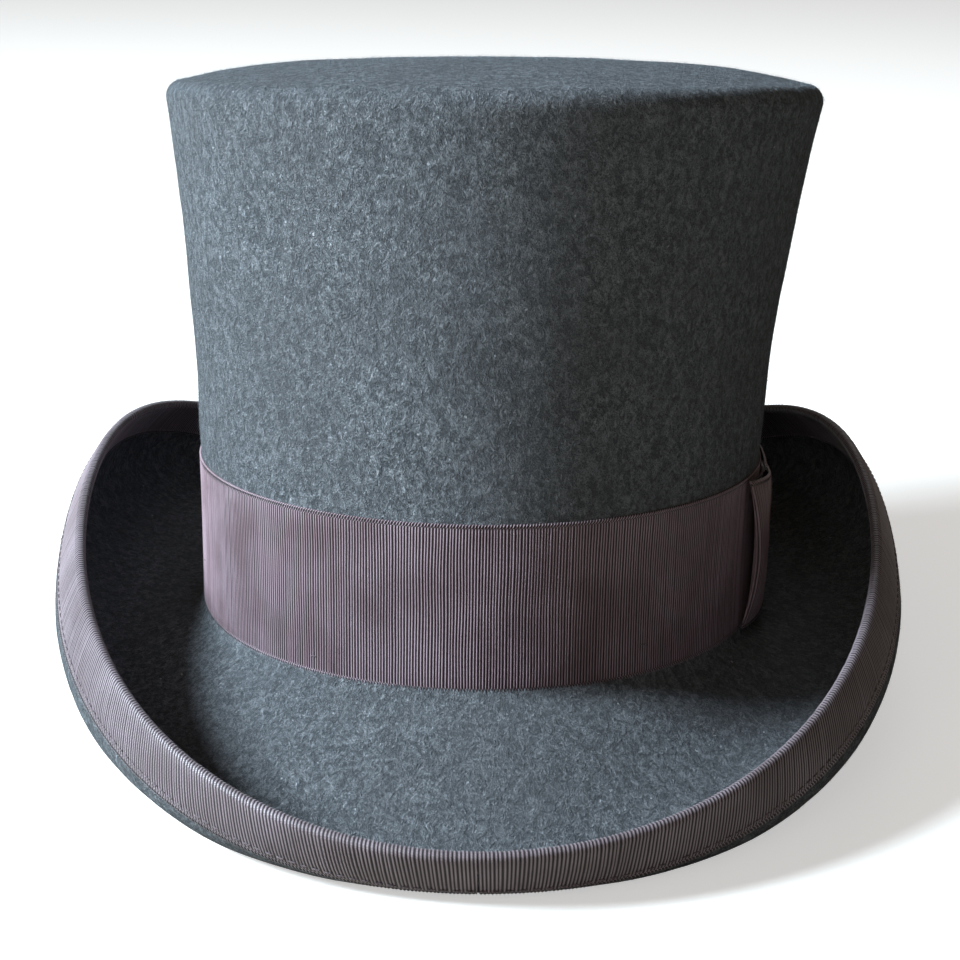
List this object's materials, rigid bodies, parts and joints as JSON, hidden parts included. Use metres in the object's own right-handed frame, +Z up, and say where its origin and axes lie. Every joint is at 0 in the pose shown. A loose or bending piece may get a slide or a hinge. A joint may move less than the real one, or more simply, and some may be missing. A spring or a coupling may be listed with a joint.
{
  "type": "felt top hat",
  "caption": "Wool felt top hat with a bell crown, curled ribbon-bound brim, ribbed ribbon band with a flat side bow, leather sweatband and satin lining.",
  "frame": {"origin": "on the surface the hat stands on, under the middle of its length and width", "axes": "+Z up, -Y the front of the hat, +X the wearer's left, where the bow is"},
  "size_m": [0.2666, 0.337, 0.1944],
  "materials": {
    "felt": "slate grey wool felt with a short nap",
    "ribbon": "ribbed brown-mauve ribbon with a soft sheen",
    "thread": "dark brown sewing thread",
    "leather": "dark brown smooth leather",
    "satin": "black satin",
    "label": "plain off-white woven label"
  },
  "bodies": {
    "root": {"felt_body": "felt", "hat_band": "ribbon", "bow_loops": "ribbon", "bow_wrap": "ribbon", "band_tacks": "thread", "brim_binding": "ribbon", "binding_stitches": "thread", "sweatband": "leather", "sweatband_reed": "leather", "sweatband_stitches": "thread", "sweatband_bow": "ribbon", "sweatband_bow_wrap": "ribbon", "size_label": "label", "lining_wall": "satin", "lining_tip": "satin", "lining_piping": "satin"}
  },
  "joints": []
}
